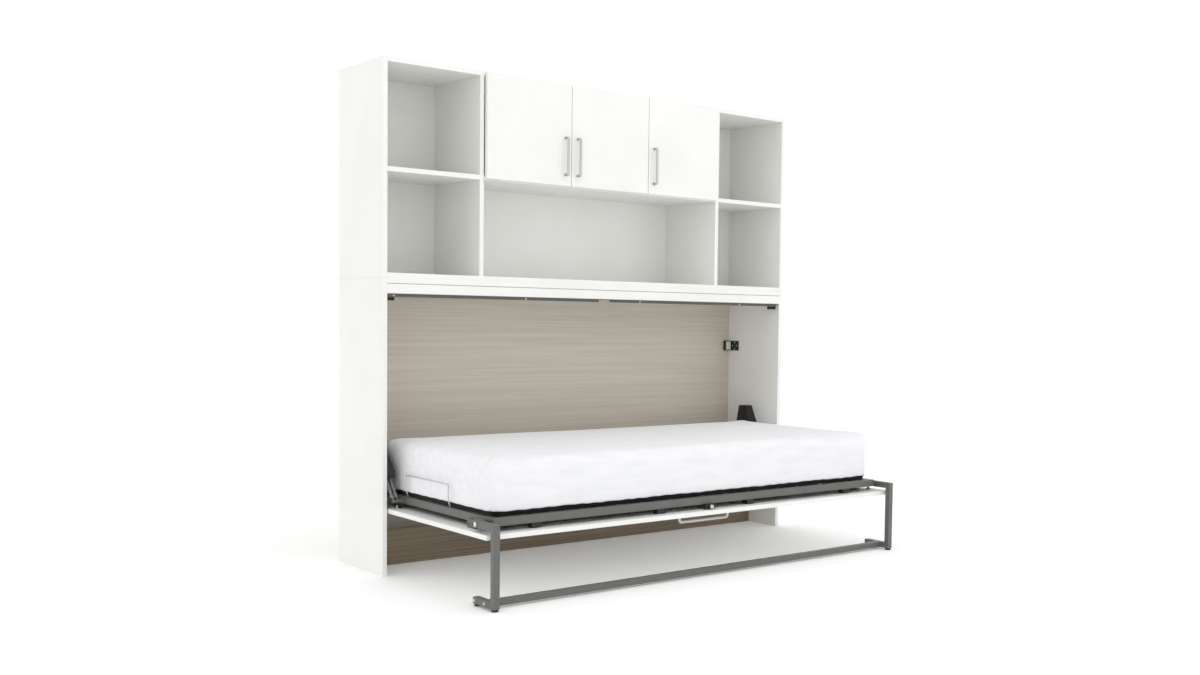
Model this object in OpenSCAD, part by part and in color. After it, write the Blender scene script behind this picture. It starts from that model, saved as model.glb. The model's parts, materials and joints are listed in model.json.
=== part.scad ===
// Horizontal wall bed: a bed cabinet with a shelf and door unit on top of it.
// Millimetres, +Z up. The origin is where the wall meets the floor, half way along
// the cabinet. The front looks along -Y, and left is -X.

/* [Mattress] */
// Length of the mattress
mattress_l = 2000; // [1700:10:2400]
// Width of the mattress
mattress_w = 900; // [700:10:1100]
// Height of the mattress
mattress_h = 216; // [120:1:220]

/* [Boards] */
// Thickness of the cabinet boards
board_t = 19; // [15:1:24]
// Thickness of the board on top of the bed cabinet
lower_top_t = 22; // [16:1:28]
// Thickness of the bed panel that closes the front
panel_t = 18; // [15:1:22]
// Thickness of the doors
door_t = 18; // [15:1:24]
// Thickness of the wall rails behind the backs
rail_t = 12; // [10:1:20]
// Thickness of the thin back of the upper unit
thin_back_t = 8; // [4:1:12]
// Thickness of the back of the wide niche
niche_back_t = 13; // [10:1:19]

/* [Bed cabinet] */
// Height of the bed pivot above the floor
pivot_z = 304; // [250:1:370]
// Distance from the pivot to the outer face of the bed panel
panel_drop = 51; // [48:1:62]
// Distance from the pivot back to the rear edge of the bed frame
rear_reach = 145; // [115:1:180]
// Room between the end of the mattress and the side of the cabinet
end_gap = 61; // [58:1:75]
// Room between the folded feet and the back of the bed cabinet
stow_gap = 40; // [30:1:80]
// Height of the board across the front under the upper unit
pelmet_h = 41; // [34:1:80]
// Room between the lower edge of the closed mattress and the board on the floor behind it
traverse_clear = 15; // [8:1:60]

/* [Upper unit] */
// Height of the upper unit
upper_h = 867; // [720:1:1050]
// Clear width of the open niches at the two ends
column_w = 411; // [340:1:500]
// Height of the shelves above the underside of the upper unit
shelf_up = 419; // [340:1:510]

/* [Bed frame] */
// Side of the square frame tube
tube = 30; // [25:1:36]
// Wall of the frame tube
tube_wall = 2; // [1.5:0.1:3]
// Width of one slat
slat_w = 68; // [50:1:82]
// Thickness of one slat
slat_t = 8; // [6:0.5:10]
// Distance between slat centres
slat_pitch = 142; // [124:1:180]

// Width of the wire bow at each end of the mattress
retainer_w = 346; // [200:1:420]
// Height of the wire bow over the frame
retainer_h = 89; // [50:1:110]

/* [Leg frame] */
// Side of the square leg tube
leg_tube = 25; // [20:1:28]
// Wall of the leg tube
leg_wall = 2; // [1.5:0.1:3]
// Distance from the leg pivot forward to the middle of the upright
leg_reach = 118; // [118:1:150]
// Height of the feet
foot_h = 8; // [6:1:14]

/* [Fittings] */
// Radius of the bed pivot pin
pin_r = 8; // [6:0.5:10]
// Radius of the leg pivot bolt
bolt_r = 6; // [4:0.5:7]
// Running clearance between a pin and its bore
fit = 0.05; // [0.02:0.01:0.1]
// Distance between the feet of a door handle
handle_pitch = 160; // [128:1:192]
// Distance between the feet of the bed panel handle
panel_handle_pitch = 256; // [192:1:320]
// Thickness of the handle bars
handle_bar = 12; // [8:1:14]

/* [Hidden] */
$fn = 32;

white = "#f1f1ec";
greige = "#c9bfae";
steel_grey = "#7c7c76";
satin = "#b9b9b5";
black = "#222222";

// Gaps between pieces that move past each other or lie side by side
door_gap = 3;          // round each door
door_stand_off = 2;    // between a door and the carcass
panel_side_gap = 6;    // at each end of the closed bed panel
panel_top_gap = 6;     // over the closed bed panel
traverse_gap = 9;      // between the frame's rear edge and the traverse

// Bed, seen from the side: heights
panel_z0 = pivot_z - panel_drop;
panel_z1 = panel_z0 + panel_t;
frame_z1 = pivot_z + 17;
frame_z0 = frame_z1 - tube;
mattress_z1 = frame_z1 + mattress_h;
leg_pivot_z = max(pivot_z - 5.5, mattress_z1 / 2 + leg_tube / 2 + foot_h / 2 + 13);

// Bed cabinet: depth from the wall
back_face = rail_t + board_t;
stowed_feet = 2 * leg_pivot_z - pivot_z;
cabinet_d = panel_drop + stowed_feet + stow_gap + back_face;
front_y = -cabinet_d;
pivot_y = front_y + panel_drop;

// Bed, seen from the side: depths
mattress_inset_rear = 6;
mattress_inset_front = 19;
panel_lip = 43;
leg_pivot_inset = 51;
frame_y1 = pivot_y + rear_reach;
mattress_y1 = frame_y1 - mattress_inset_rear;
mattress_y0 = mattress_y1 - mattress_w;
traverse_h = pivot_z - rear_reach + mattress_inset_rear - traverse_clear;
frame_y0 = mattress_y0 - mattress_inset_front;
panel_y0 = frame_y0 - panel_lip;
leg_pivot_y = frame_y0 + leg_pivot_inset;
upright_y = leg_pivot_y - leg_reach;

// Widths, from the middle outwards
inner_x = mattress_l / 2 + end_gap;
outer_x = inner_x + board_t;
frame_x = mattress_l / 2 + 2;
panel_x = inner_x - panel_side_gap;
leg_x0 = frame_x + 18.5;
leg_x1 = leg_x0 + leg_tube;

// Heights of the two units
closed_top = pivot_z + pivot_y - panel_y0;
pelmet_z0 = closed_top + panel_top_gap;
lower_top_z0 = pelmet_z0 + pelmet_h;
lower_h = lower_top_z0 + lower_top_t;
total_h = lower_h + upper_h;
shelf_z0 = lower_h + shelf_up;
shelf_z1 = shelf_z0 + board_t;
top_z0 = total_h - board_t;

// Upper unit: plan
divider_x1 = inner_x - column_w;
divider_x0 = divider_x1 - board_t;
thin_back_y = -rail_t - thin_back_t;
niche_back_y = thin_back_y - niche_back_t;

// Doors
door_w = (2 * divider_x0 - 4 * door_gap) / 3;
door_edge = [for (i = [0:2]) -divider_x0 + door_gap + i * (door_w + door_gap)];
door_overlay = 14;
door_z0 = shelf_z1 - door_overlay;
door_z1 = total_h - 6;
door_y1 = front_y - door_stand_off;
door_y0 = door_y1 - door_t;
hinge_side = [-1, 1, 1];
hinge_zs = [door_z0 + 80, door_z1 - 80];
cup_r = 17.5;
cup_depth = 11;
cup_inset = 22;
compartment_x = door_edge[2] - door_gap / 2;

// Handles
handle_rise = 24;
handle_edge = 30;
handle_up = 127;

// Slats
slat_room = 2 * (frame_x - tube) - slat_w - 26;
slat_count = 2 * floor((floor(slat_room / slat_pitch) + 1) / 2);
slat_xs = [for (i = [0:slat_count - 1]) (i - (slat_count - 1) / 2) * slat_pitch];
slat_z0 = frame_z1 - slat_t - 2;
holder_l = 26;
holder_wall = 2;
cross_xs = [-3 * slat_pitch, 0, 3 * slat_pitch];

// Lifting mechanism, in the side view: points from the bed pivot, depth then height
cover_t = 2.5;
cover_w = 44;
plate_t = 4;
cover_clear_r = 92;
boss_r = 16;
plate_nose_r = 24;
plate_outline = [[-20, -13], [0, -19], [227, -19], [227, 150], [207, 221], [190, 303], [143, 303],
    [103, 221], [-26, 118], [-26, 60], [-20, 13]];
cover_outline = [[0, -19], [227, -19], [227, 150], [207, 221], [190, 303], [143, 303],
    [103, 221], [-26, 118], [-26, 0]];
spring_low = [-75, 0];
spring_high = [171, 282];
spring_xs = [inner_x - plate_t - 13, inner_x - plate_t - 31];
stud_r = 5;
anchor_r = 4;
plate_screws = [[30, 60], [30, 120], [205, 30], [205, 170], [130, 10]];
arm_x0 = frame_x + 1;
arm_t = 5;

// Leg frame stowed in the closed cabinet
crossbar_y = leg_pivot_y - 66;
heel_y = leg_pivot_y + 18;
catch_z = pivot_z + pivot_y - 2 * leg_pivot_y + upright_y - 2;

// A board or block between its lowest and its highest corner
module block(low, high) {
    translate(low) cube(high - low);
}

// A piece made for the right-hand end, and its mirror image at the left-hand end
module both_ends() {
    for (m = [0, 1]) mirror([m, 0, 0]) children();
}

// A square tube with a plate welded over each end
module square_tube(low, high, wall) {
    in = [wall, wall, wall];
    difference() {
        block(low, high);
        block(low + in, high - in);
    }
}

// A round bar along X between two places
module rod_x(x0, x1, y, z, r) {
    translate([x0, y, z]) rotate([0, 90, 0]) cylinder(r = r, h = x1 - x0);
}

// A round bar along Y between two places
module rod_y(x, y0, y1, z, r) {
    translate([x, y1, z]) rotate([90, 0, 0]) cylinder(r = r, h = y1 - y0);
}

// A flat plate in the side view, its outline given from the bed pivot
module side_plate(x0, x1) {
    translate([x0, pivot_y, pivot_z]) rotate([90, 0, 90]) linear_extrude(x1 - x0) children();
}

// ---- Bed cabinet ----

module lower_side(s) {
    x = s < 0 ? -outer_x : inner_x;
    color(white) block([x, front_y, 0], [x + board_t, 0, lower_h]);
}

module lower_top() {
    color(white) block([-inner_x, front_y, lower_top_z0], [inner_x, 0, lower_h]);
}

reveal_h = 2.5;
reveal_depth = 8;

// Board across the front, with a shadow gap cut along its top edge
module pelmet() {
    color(white) difference() {
        block([-inner_x, front_y, pelmet_z0], [inner_x, front_y + board_t, lower_top_z0]);
        block([-inner_x - 1, front_y - 1, lower_top_z0 - reveal_h],
            [inner_x + 1, front_y + reveal_depth, lower_top_z0 + 1]);
    }
}

module lower_back() {
    color(greige) block([-inner_x, -back_face, 0], [inner_x, -rail_t, lower_top_z0]);
}

module traverse() {
    y = frame_y1 + traverse_gap;
    color(greige) block([-inner_x, y, 0], [inner_x, y + 15, traverse_h]);
}

rail_h = 80;
fixing_r = 3;
fixing_x = 400;
fixing_z = top_z0 - 35;

module wall_fixing_holes() {
    for (s = [-1, 1]) rod_y(s * fixing_x, -back_face - 10, 1, fixing_z, fixing_r);
}

module wall_rails() {
    color(white) difference() {
        for (z = [0, lower_top_z0 - rail_h, lower_h + board_t, top_z0 - rail_h])
            block([-inner_x, -rail_t, z], [inner_x, 0, z + rail_h]);
        wall_fixing_holes();
    }
}

angle_t = 3;
angle_drop = 14;
angle_x = inner_x - 1;
angle_y = front_y + board_t + 2;
lock_notch = 30;
buffer_pitch = 612;
buffer_start = 37;
buffer_t = 2.2;

// Steel angle under the pelmet, cut away in the middle for the lock
module stiffener_angle() {
    color(steel_grey) difference() {
        union() {
            block([-angle_x, front_y + 3, pelmet_z0 - angle_t], [angle_x, angle_y + angle_t, pelmet_z0]);
            block([-angle_x, angle_y, pelmet_z0 - angle_drop], [angle_x, angle_y + angle_t, pelmet_z0]);
        }
        block([-lock_notch, angle_y - 1, pelmet_z0 - angle_drop - 1],
            [lock_notch, angle_y + angle_t + 1, pelmet_z0 - angle_t]);
    }
}

// Soft dots that the closed panel rests on, set out from the left-hand end
module panel_buffers() {
    color("#e6e2d4") for (x = [buffer_start - inner_x:buffer_pitch:inner_x - buffer_start])
        rod_y(x, angle_y - buffer_t, angle_y, pelmet_z0 - 8, 4);
}

module top_catches() {
    y = angle_y + angle_t;
    both_ends() color(black) difference() {
        block([inner_x - 42, y, pelmet_z0 - 28], [inner_x - 4, y + 20, pelmet_z0]);
        for (x = [inner_x - 32, inner_x - 14]) rod_y(x, y - 1, y + 21, pelmet_z0 - 21, 3);
    }
}

catch_y0 = -back_face - 80;
catch_y1 = -back_face - 6;
catch_h = 50;
catch_reach = 42;
bumper_y = catch_y1 - 14;

module catch_screw_places() {
    for (p = [[-16, 0], [16, 0], [0, -17], [0, 17]])
        translate([0, catch_y0 + 31 + p[0], catch_z + p[1]]) children();
}

module side_catches() {
    both_ends() color(black) difference() {
        union() {
            block([inner_x - 3, catch_y0, catch_z - catch_h / 2], [inner_x, catch_y1, catch_z + catch_h / 2]);
            block([inner_x - catch_reach, bumper_y, catch_z - catch_h / 2],
                [inner_x, catch_y1, catch_z + catch_h / 2]);
        }
        catch_screw_places() translate([inner_x - 4, 0, 0]) rotate([0, 90, 0]) cylinder(r = 2, h = 5);
    }
}

module catch_bumpers() {
    both_ends() color("#e6e2d4") block([inner_x - catch_reach + 4, bumper_y - 8, catch_z - catch_h / 2 + 4],
        [inner_x - catch_reach + 32, bumper_y, catch_z + catch_h / 2 - 4]);
}

// ---- Lifting mechanism ----

module hinge_plates() {
    both_ends() color(steel_grey) difference() {
        union() {
            side_plate(inner_x - plate_t, inner_x) union() {
                polygon(plate_outline);
                circle(r = plate_nose_r, $fn = 48);
            }
            rod_x(inner_x - plate_t - 37, inner_x - plate_t, pivot_y, pivot_z, boss_r);
            rod_x(inner_x - plate_t - 41, inner_x - plate_t,
                pivot_y + spring_high[0], pivot_z + spring_high[1], anchor_r);
        }
        rod_x(inner_x - plate_t - 38, inner_x - 2, pivot_y, pivot_z, pin_r + fit);
        for (p = plate_screws)
            rod_x(inner_x - plate_t - 1, inner_x + 1, pivot_y + p[0], pivot_z + p[1], 2.5);
    }
}

// Screws of the side catches and of the hinge plates
module mounting_screws() {
    both_ends() color(satin) {
        catch_screw_places() translate([inner_x - 5, 0, 0]) rotate([0, 90, 0]) union() {
            cylinder(r = 4, h = 2);
            cylinder(r = 2, h = 5);
        }
        for (p = plate_screws) union() {
            rod_x(inner_x - plate_t, inner_x, pivot_y + p[0], pivot_z + p[1], 2.5);
            rod_x(inner_x - plate_t - 3, inner_x - plate_t, pivot_y + p[0], pivot_z + p[1], 5);
        }
    }
}

module spring_covers() {
    x1 = inner_x - plate_t;
    x0 = x1 - cover_w;
    both_ends() color(black) difference() {
        union() {
            side_plate(x0, x1) polygon(cover_outline);
            for (y = [130, 150, 170, 190])
                side_plate(x0 - 1.5, x0) translate([y, 40]) square([4, y < 190 ? 230 : 180]);
        }
        side_plate(x0 + cover_t, x1 + 1) offset(delta = -cover_t) polygon(cover_outline);
        rod_x(x0 - 3, x1 + 1, pivot_y, pivot_z, cover_clear_r);
    }
}

// One tension spring from the stud on the swing arm to the anchor post
module lift_spring(x) {
    run = spring_high - spring_low;
    len = norm(run);
    end = 26;
    translate([x, pivot_y + spring_low[0], pivot_z + spring_low[1]])
        rotate([-atan2(run[0], run[1]), 0, 0]) union() {
            translate([0, 0, end]) difference() {
                cylinder(r = 7.5, h = len - 2 * end);
                translate([0, 0, 2]) cylinder(r = 5, h = len - 2 * end - 4);
            }
            spring_eye(0, stud_r);
            spring_eye(len, anchor_r);
            translate([0, 0, stud_r + 2]) cylinder(r = 1.1, h = end - stud_r - 1);
            translate([0, 0, len - end - 1]) cylinder(r = 1.1, h = end - anchor_r - 1);
        }
}

module spring_eye(z, hole_r) {
    translate([0, 0, z]) rotate([0, 90, 0])
        rotate_extrude() translate([hole_r + 1.8, 0]) circle(r = 1.5);
}

module lift_springs() {
    both_ends() color(satin) for (x = spring_xs) lift_spring(x);
}

module swing_arms() {
    both_ends() color(steel_grey) union() {
        side_plate(arm_x0, arm_x0 + arm_t) union() {
            circle(r = boss_r);
            translate([spring_low[0], -13]) square([-spring_low[0], 26]);
            translate(spring_low) circle(r = 13);
        }
        rod_x(frame_x - tube - 4, inner_x - plate_t - 1, pivot_y, pivot_z, pin_r);
        rod_x(arm_x0, inner_x - plate_t - 6, pivot_y + spring_low[0], pivot_z + spring_low[1], stud_r);
    }
}

// ---- Upper unit ----

module upper_side(s) {
    x = s < 0 ? -outer_x : inner_x;
    color(white) block([x, front_y, lower_h], [x + board_t, 0, total_h]);
}

module upper_top() {
    color(white) block([-inner_x, front_y, top_z0], [inner_x, 0, total_h]);
}

bolt_y = -back_face - 40;
bolt_xs = [-divider_x1 - column_w / 2, -column_w, column_w, divider_x1 + column_w / 2];

module unit_bolt_holes(r) {
    for (x = bolt_xs) translate([x, bolt_y, lower_h - 12]) cylinder(r = r, h = board_t + 13);
}

module upper_bottom() {
    color(white) difference() {
        block([-inner_x, front_y, lower_h], [inner_x, 0, lower_h + board_t]);
        unit_bolt_holes(3);
    }
}

module lower_top_drilled() {
    difference() {
        lower_top();
        unit_bolt_holes(3);
    }
}

module unit_bolts() {
    color(satin) for (x = bolt_xs) translate([x, bolt_y, lower_h - 12]) union() {
        cylinder(r = 3, h = board_t + 12);
        translate([0, 0, board_t + 12]) cylinder(r = 7, h = 3);
    }
}

module niche_dividers() {
    both_ends() color(white)
        block([divider_x0, front_y, lower_h + board_t], [divider_x1, thin_back_y, top_z0]);
}

module compartment_divider() {
    color(white) block([compartment_x - board_t / 2, front_y, shelf_z1],
        [compartment_x + board_t / 2, thin_back_y, top_z0]);
}

module centre_shelf() {
    color(white) block([-divider_x0, front_y, shelf_z0], [divider_x0, thin_back_y, shelf_z1]);
}

module column_shelves() {
    both_ends() color(white)
        block([divider_x1, front_y, shelf_z0], [inner_x, thin_back_y, shelf_z1]);
}

module upper_back() {
    color(white) difference() {
        block([-inner_x, thin_back_y, lower_h + board_t], [inner_x, -rail_t, top_z0]);
        wall_fixing_holes();
    }
}

module niche_back() {
    color(white) block([-divider_x0, niche_back_y, lower_h + board_t],
        [divider_x0, thin_back_y, shelf_z0]);
}

// ---- Doors: 1 opens to the left, 2 and 3 to the right ----

function hinge_edge(i) = hinge_side[i] < 0 ? door_edge[i] : door_edge[i] + door_w;
function free_edge(i) = hinge_side[i] < 0 ? door_edge[i] + door_w : door_edge[i];
function cup_x(i) = hinge_edge(i) - hinge_side[i] * cup_inset;

module door(i) {
    color(white) difference() {
        block([door_edge[i], door_y0, door_z0], [door_edge[i] + door_w, door_y1, door_z1]);
        for (z = hinge_zs) rod_y(cup_x(i), door_y1 - cup_depth, door_y1 + 1, z, cup_r);
    }
}

module door_hinge_cups(i) {
    color(satin) for (z = hinge_zs) difference() {
        union() {
            rod_y(cup_x(i), door_y1 - cup_depth, door_y1, z, cup_r);
            translate([cup_x(i), 0, z]) block([-19, door_y1, -26], [19, door_y1 + 1.2, 26]);
        }
        rod_y(cup_x(i), door_y1 - cup_depth + 1.5, door_y1 + 2, z, cup_r - 1.5);
    }
}

// Arms and mounting plates of the concealed hinges, on the carcass
module door_hinge_arms() {
    wall_x = [-divider_x0, compartment_x - board_t / 2, divider_x0];
    color(satin) for (i = [0:2], z = hinge_zs) translate([wall_x[i], front_y, z])
        mirror([hinge_side[i] > 0 ? 1 : 0, 0, 0]) union() {
            block([0, 20, -24], [2.5, 58, 24]);
            block([2.5, 4, -7], [15, 62, 7]);
        }
}

// A bow handle along Z: two posts and a bar with rounded corners, standing out to -Y
module bow_handle(pitch, rise, bar) {
    r = bar / 2;
    union() {
        for (s = [-1, 1]) translate([0, 0, s * pitch / 2]) union() {
            rotate([90, 0, 0]) cylinder(r = r, h = rise);
            translate([0, -rise, 0]) sphere(r = r);
        }
        translate([0, -rise, -pitch / 2]) cylinder(r = r, h = pitch);
    }
}

module door_handle(i) {
    x = free_edge(i) + hinge_side[i] * handle_edge;
    color(satin) translate([x, door_y0, door_z0 + handle_up])
        bow_handle(handle_pitch, handle_rise, handle_bar);
}

// ---- Bed frame ----

module frame_front_bar() {
    color(steel_grey) square_tube([-frame_x, frame_y0, frame_z0],
        [frame_x, frame_y0 + tube, frame_z1], tube_wall);
}

module frame_rear_bar() {
    color(steel_grey) square_tube([-frame_x, frame_y1 - tube, frame_z0],
        [frame_x, frame_y1, frame_z1], tube_wall);
}

module frame_end_bars() {
    both_ends() color(steel_grey) difference() {
        square_tube([frame_x - tube, frame_y0 + tube, frame_z0],
            [frame_x, frame_y1 - tube, frame_z1], tube_wall);
        rod_x(frame_x - tube - 1, frame_x + 1, pivot_y, pivot_z, pin_r + fit);
    }
}

module frame_cross_bars() {
    color(steel_grey) for (x = cross_xs)
        square_tube([x - tube / 2, frame_y0 + tube, frame_z0],
            [x + tube / 2, frame_y1 - tube, frame_z1], tube_wall);
}

module slat(x) {
    block([x - slat_w / 2, frame_y0 + tube + 3, slat_z0],
        [x + slat_w / 2, frame_y1 - tube - 3, slat_z0 + slat_t]);
}

module slats() {
    color("#9b6a45") for (x = slat_xs) slat(x);
}

module slat_holders() {
    color(black) for (x = slat_xs) difference() {
        for (y = [frame_y0 + tube, frame_y1 - tube - holder_l])
            block([x - slat_w / 2 - holder_wall, y, slat_z0 - 4],
                [x + slat_w / 2 + holder_wall, y + holder_l, frame_z1]);
        slat(x);
    }
}

module front_panel() {
    color(white) block([-panel_x, panel_y0, panel_z0], [panel_x, frame_y1, panel_z1]);
}

spacer_insets = [183, 763];

module panel_spacers() {
    color(black) for (y = [frame_y0, frame_y1 - tube], s = [-1, 1], inset = spacer_insets)
        translate([s * (frame_x - inset), y, 0])
            block([-20, 0, panel_z1], [20, tube, frame_z0]);
}

// Turned screw cones that hold the panel's ends to the frame
module panel_screw_cones() {
    both_ends() color(satin) for (y = [frame_y0 + 46, frame_y1 - 190])
        translate([frame_x + 12, y, panel_z1]) rotate_extrude()
            polygon([[0, 0], [13, 0], [13, 3], [7, 5], [5, 12], [0, 12]]);
}

module panel_handle() {
    color(satin) translate([0, frame_y0 + 24, panel_z0])
        rotate([90, 0, 90]) bow_handle(panel_handle_pitch, handle_rise + 6, handle_bar);
}

module mattress() {
    color("#f3f3f4") block([-mattress_l / 2, mattress_y0, frame_z1],
        [mattress_l / 2, mattress_y1, mattress_z1]);
}

retainer_r = 3;
retainer_inset = 329;
retainer_foot = 14;

// Wire bow that keeps the end of the mattress in place, its feet on the side of the frame
module mattress_retainers() {
    x = frame_x + retainer_r + 0.05;
    y0 = frame_y0 + retainer_inset;
    z1 = frame_z1 + retainer_h;
    both_ends() color("#d8d8d8") union() {
        for (y = [y0, y0 + retainer_w]) translate([x, y, 0]) union() {
            translate([0, 0, frame_z1 - retainer_foot])
                cylinder(r = retainer_r, h = retainer_h + retainer_foot);
            translate([0, 0, z1]) sphere(r = retainer_r + 0.15);
        }
        rod_y(x, y0, y0 + retainer_w, z1, retainer_r);
    }
}

// ---- Leg frame and what holds it ----

block_x1 = leg_x0 - 1.5;

module leg_hinge_blocks() {
    both_ends() color(steel_grey) difference() {
        union() {
            block([frame_x, leg_pivot_y + 56, panel_z1], [block_x1, leg_pivot_y + 108, leg_pivot_z + 5]);
            block([frame_x, leg_pivot_y - 15, leg_pivot_z - 13], [block_x1, leg_pivot_y + 60, leg_pivot_z + 13]);
        }
        rod_x(frame_x - 1, block_x1 + 1, leg_pivot_y, leg_pivot_z, bolt_r);
        for (y = [70, 92]) rod_x(frame_x + 6, block_x1 + 1, leg_pivot_y + y, panel_z1 + 16, 3.5);
    }
}

module leg_pivot_bolts() {
    both_ends() color("#d8d8d8") union() {
        rod_x(frame_x, leg_x1 + 0.5, leg_pivot_y, leg_pivot_z, bolt_r);
        rod_x(leg_x1 + 0.5, leg_x1 + 5.5, leg_pivot_y, leg_pivot_z, 10);
    }
}

module leg_top_arms() {
    both_ends() color(steel_grey) difference() {
        square_tube([leg_x0, upright_y + leg_tube / 2, leg_pivot_z - leg_tube / 2],
            [leg_x1, leg_pivot_y + leg_tube / 2 + 2, leg_pivot_z + leg_tube / 2], leg_wall);
        rod_x(leg_x0 - 1, leg_x1 + 1, leg_pivot_y, leg_pivot_z, bolt_r + fit);
    }
}

module leg_uprights() {
    both_ends() color(steel_grey) square_tube([leg_x0, upright_y - leg_tube / 2, foot_h],
        [leg_x1, upright_y + leg_tube / 2, leg_pivot_z + leg_tube / 2], leg_wall);
}

module leg_foot_arms() {
    both_ends() color(steel_grey) square_tube([leg_x0, upright_y + leg_tube / 2, foot_h],
        [leg_x1, heel_y, foot_h + leg_tube], leg_wall);
}

module leg_crossbar() {
    color(steel_grey) square_tube([-leg_x0, crossbar_y - leg_tube / 2, foot_h],
        [leg_x0, crossbar_y + leg_tube / 2, foot_h + leg_tube], leg_wall);
}

pad_y = heel_y - 14;

module leg_feet() {
    both_ends() color(black) translate([(leg_x0 + leg_x1) / 2, 0, 0]) {
        translate([0, upright_y, 0]) cylinder(r = 13, h = foot_h);
        translate([0, pad_y, 0]) cylinder(r = 12, h = foot_h);
    }
}

module leg_bolts() {
    both_ends() color(satin) for (y = [crossbar_y, pad_y])
        rod_x(leg_x1, leg_x1 + 4, y, foot_h + leg_tube / 2, 7);
}

// ---- Lock that keeps the closed bed shut ----

lock_y = frame_y0 - 18;
knob_z = panel_z1 + 12;

module lock_body() {
    color(black) difference() {
        block([-24, lock_y, panel_z1], [24, frame_y0, panel_z1 + 22]);
        rod_y(0, lock_y - 1, frame_y0 - 4, knob_z, 4 + fit);
    }
}

module lock_knob() {
    color("#d8d8d8") union() {
        rod_y(0, lock_y - 0.5, frame_y0 - 5, knob_z, 4);
        rod_y(0, lock_y - 14, lock_y - 0.5, knob_z, 9);
        translate([0, lock_y - 14, knob_z]) block([-3, -5, -9], [3, 0.1, 9]);
    }
}

lower_side(-1);  // lower_side_left
lower_side(1);  // lower_side_right
lower_top_drilled();  // lower_top
pelmet();
lower_back();
traverse();
wall_rails();
stiffener_angle();
panel_buffers();
top_catches();
side_catches();
catch_bumpers();
hinge_plates();
mounting_screws();
spring_covers();
lift_springs();
upper_side(-1);  // upper_side_left
upper_side(1);  // upper_side_right
upper_top();
upper_bottom();
niche_dividers();
compartment_divider();
centre_shelf();
column_shelves();
upper_back();
niche_back();
unit_bolts();
door_hinge_arms();
swing_arms();
frame_front_bar();
frame_rear_bar();
frame_end_bars();
frame_cross_bars();
slats();
slat_holders();
front_panel();
panel_spacers();
panel_screw_cones();
panel_handle();
mattress();
mattress_retainers();
leg_hinge_blocks();
leg_pivot_bolts();
lock_body();
lock_knob();
leg_top_arms();
leg_uprights();
leg_foot_arms();
leg_crossbar();
leg_feet();
leg_bolts();
door(0);  // door_1
door_handle(0);  // door_handle_1
door_hinge_cups(0);  // door_hinge_cups_1
door(1);  // door_2
door_handle(1);  // door_handle_2
door_hinge_cups(1);  // door_hinge_cups_2
door(2);  // door_3
door_handle(2);  // door_handle_3
door_hinge_cups(2);  // door_hinge_cups_3
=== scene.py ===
"""The looks of a horizontal wall bed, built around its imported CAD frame.

The cabinet, the doors, the bed frame and the leg frame keep their CAD meshes and get a
softened edge and a finish. The mattress, its fitted sheet, the handles, the wire bows, the
springs, the knob, the feet and the screws are built here, where the CAD says they are.
"""

import json
import logging
import math
from dataclasses import dataclass, field
from enum import Enum

import bmesh
import bpy
import numpy as np
from mathutils import Matrix, Vector, noise


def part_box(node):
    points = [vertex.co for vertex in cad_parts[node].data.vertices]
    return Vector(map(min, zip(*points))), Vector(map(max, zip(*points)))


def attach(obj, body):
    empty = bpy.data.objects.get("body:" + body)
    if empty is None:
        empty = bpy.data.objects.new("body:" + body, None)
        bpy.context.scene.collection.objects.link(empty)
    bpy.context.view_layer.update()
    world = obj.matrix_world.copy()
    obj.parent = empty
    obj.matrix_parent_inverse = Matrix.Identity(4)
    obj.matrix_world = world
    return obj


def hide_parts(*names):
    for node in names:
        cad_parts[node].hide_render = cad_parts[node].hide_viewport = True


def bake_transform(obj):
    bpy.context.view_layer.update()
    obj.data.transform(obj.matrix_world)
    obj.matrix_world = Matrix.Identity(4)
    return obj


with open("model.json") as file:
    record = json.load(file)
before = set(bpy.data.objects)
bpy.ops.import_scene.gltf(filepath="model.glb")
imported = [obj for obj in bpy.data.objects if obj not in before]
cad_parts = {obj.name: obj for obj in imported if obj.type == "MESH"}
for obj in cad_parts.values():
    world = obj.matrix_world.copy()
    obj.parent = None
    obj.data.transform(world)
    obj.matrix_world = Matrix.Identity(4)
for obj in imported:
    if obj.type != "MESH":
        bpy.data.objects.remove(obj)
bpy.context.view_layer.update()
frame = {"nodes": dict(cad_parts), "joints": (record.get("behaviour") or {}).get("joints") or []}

log = logging.getLogger("wall_bed")
MM = 0.001
# A bent bar is drawn a little thinner than its CAD solid, so its bends stay inside it.
BAR_SHARE = 0.96


class Body(str, Enum):
    """The moving bodies of the bed, by their names in the record."""

    CABINET = "root"
    SWING_ARMS = "swing_arms"
    BED = "bed"
    LEG_FRAME = "leg_frame"
    LOCK_KNOB = "lock_knob"


class Run(Enum):
    """The row axis that a grain or a brushed line runs along."""

    X = 0
    Y = 1
    Z = 2


class Side(Enum):
    """The two ends of the bed, seen from the front, with the sign of their X."""

    LEFT = -1
    RIGHT = 1


# ---------------------------------------------------------------- small helpers


def linear(hex_colour: str) -> tuple[float, float, float, float]:
    """Turn an sRGB hex colour into the linear values that a shader takes.

    Args:
        hex_colour: Six hex digits with a leading hash.

    Returns:
        Red, green, blue and alpha.
    """
    parts = [int(hex_colour[i : i + 2], 16) / 255 for i in (1, 3, 5)]
    return (*(c / 12.92 if c <= 0.04045 else ((c + 0.055) / 1.055) ** 2.4 for c in parts), 1.0)


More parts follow.
